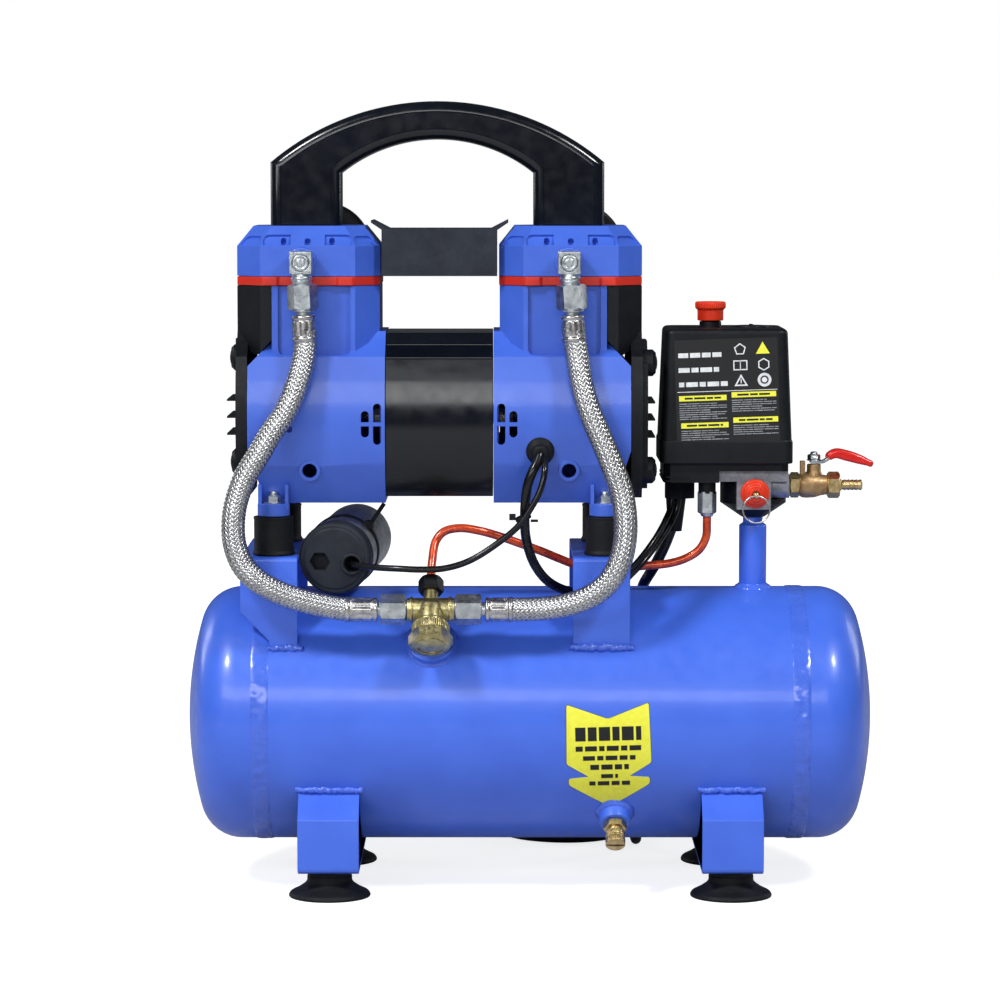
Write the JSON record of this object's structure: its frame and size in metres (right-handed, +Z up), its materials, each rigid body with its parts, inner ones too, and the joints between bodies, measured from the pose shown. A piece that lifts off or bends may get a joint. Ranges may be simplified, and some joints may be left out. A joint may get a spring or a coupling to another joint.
{
  "type": "air compressor",
  "caption": "Portable oil-free air compressor: a twin-head piston pump with a carrying handle on a small horizontal tank with suction feet, pressure switch and ball valve.",
  "frame": {"origin": "centre of the footprint on the floor, without the mains cord", "axes": "+Z up; X along the tank, with the pressure switch and outlet valve at +X; the hose and valve side faces -Y"},
  "size_m": [0.4332, 0.3331, 0.4936],
  "materials": {
    "blue_paint": "satin blue powder coat on welded steel, faint orange peel",
    "blue_casting": "satin blue paint over cast aluminium",
    "red_paint": "bright red paint on an aluminium plate, satin",
    "black_paint": "gloss black enamel on sheet steel",
    "handle_black": "moulded black nylon with a soft gloss",
    "black_plastic": "moulded black plastic, fine spark-eroded grain",
    "grey_sheet": "dark grey textured powder coat on bent sheet",
    "rubber_black": "matt black rubber",
    "cable_black": "black PVC sheath, slightly glossy",
    "zinc_steel": "bright zinc plating",
    "braided_steel": "woven stainless wire over a rubber hose",
    "machined_steel": "turned steel",
    "core_iron": "laminated electrical steel with varnished copper windings",
    "bare_aluminium": "as-cast aluminium, slightly rough",
    "brass": "turned brass, lightly tarnished",
    "copper_lacquer": "copper pipe with a clear red lacquer",
    "red_plastic": "moulded red plastic",
    "red_vinyl": "steel lever dipped in red vinyl"
  },
  "bodies": {
    "frame": {"tank_shell": "blue_paint", "tank_end_left": "blue_paint", "tank_end_right": "blue_paint", "foot_strap_left": "blue_paint", "foot_strap_right": "blue_paint", "saddle_left": "blue_paint", "saddle_right": "blue_paint", "suction_foot_front_left": "rubber_black", "suction_foot_front_right": "rubber_black", "suction_foot_rear_left": "rubber_black", "suction_foot_rear_right": "rubber_black", "rubber_mount_front_left": "rubber_black", "rubber_mount_front_right": "rubber_black", "rubber_mount_rear_left": "rubber_black", "rubber_mount_rear_right": "rubber_black", "drain_fitting": "brass", "check_valve": "brass", "ball_valve_body": "brass", "pump_housing_left": "blue_casting", "pump_housing_right": "blue_casting", "cylinder_head_left": "blue_casting", "cylinder_head_right": "blue_casting", "stator_cover": "black_paint", "stator_core": "core_iron", "bearing_left": "machined_steel", "bearing_right": "machined_steel", "end_cover_left": "black_plastic", "end_cover_right": "black_plastic", "air_filter_left": "black_plastic", "air_filter_right": "black_plastic", "capacitor": "black_plastic", "switch_base": "black_plastic", "switch_cover": "black_plastic", "mains_plug": "black_plastic", "cylinder_sleeve_left": "bare_aluminium", "cylinder_sleeve_right": "bare_aluminium", "manifold_block": "bare_aluminium", "valve_plate_left": "red_paint", "valve_plate_right": "red_paint", "handle": "handle_black", "link_plate": "grey_sheet", "hose_elbow_left": "zinc_steel", "hose_elbow_right": "zinc_steel", "braided_hose_left": "braided_steel", "braided_hose_right": "braided_steel", "unloader_tube": "copper_lacquer", "motor_leads": "cable_black", "mains_cord": "cable_black", "mains_coil": "cable_black", "safety_valve": "red_plastic"},
    "rotor_assembly": {"rotor": "machined_steel", "fan_left": "black_plastic", "fan_right": "black_plastic"},
    "piston_left": {"piston_rod_left": "bare_aluminium"},
    "piston_right": {"piston_rod_right": "bare_aluminium"},
    "power_knob": {"switch_knob": "red_plastic"},
    "outlet_lever": {"valve_lever": "red_vinyl"},
    "relief_pin": {"safety_pin": "brass"},
    "relief_ring": {"safety_ring": "zinc_steel"},
    "drain_knob": {"drain_screw": "brass"}
  },
  "joints": [
    {"name": "rotor_spin", "type": "hinge", "parent": "frame", "child": "rotor_assembly", "pos_m": [-0.0571, 0.00883, 0.297], "axis": [1, 0, 0], "continuous": true},
    {"name": "rod_left_turn", "type": "hinge", "parent": "rotor_assembly", "child": "piston_left", "pos_m": [-0.1386, 0.00883, 0.3025], "axis": [1, 0, 0], "continuous": true},
    {"name": "rod_right_turn", "type": "hinge", "parent": "rotor_assembly", "child": "piston_right", "pos_m": [0.0244, 0.00883, 0.2915], "axis": [1, 0, 0], "continuous": true},
    {"name": "power_knob_press", "type": "slide", "parent": "frame", "child": "power_knob", "axis": [0, 0, 1], "range_m": [-0.0035, 0]},
    {"name": "outlet_lever_turn", "type": "hinge", "parent": "frame", "child": "outlet_lever", "pos_m": [0.1784, -0.00317, 0.264], "axis": [0, 0, 1], "range_deg": [-90, 0]},
    {"name": "relief_pin_pull", "type": "slide", "parent": "frame", "child": "relief_pin", "axis": [0, -1, 0], "range_m": [0, 0.003], "stiffness_N_per_m": 300, "springref_m": -0.001},
    {"name": "relief_ring_swing", "type": "hinge", "parent": "relief_pin", "child": "relief_ring", "pos_m": [0.1404, -0.03217, 0.2485], "axis": [1, 0, 0], "range_deg": [-90, 3]},
    {"name": "drain_knob_turn", "type": "hinge", "parent": "frame", "child": "drain_knob", "pos_m": [0.052, -0.0631, 0.03753], "axis": [0, -0.7193, -0.6947], "range_deg": [0, 360]}
  ],
  "couplings": [
    {"joint": "rod_left_turn", "follows": "rotor_spin", "ratio": -1},
    {"joint": "rod_right_turn", "follows": "rotor_spin", "ratio": -1}
  ]
}
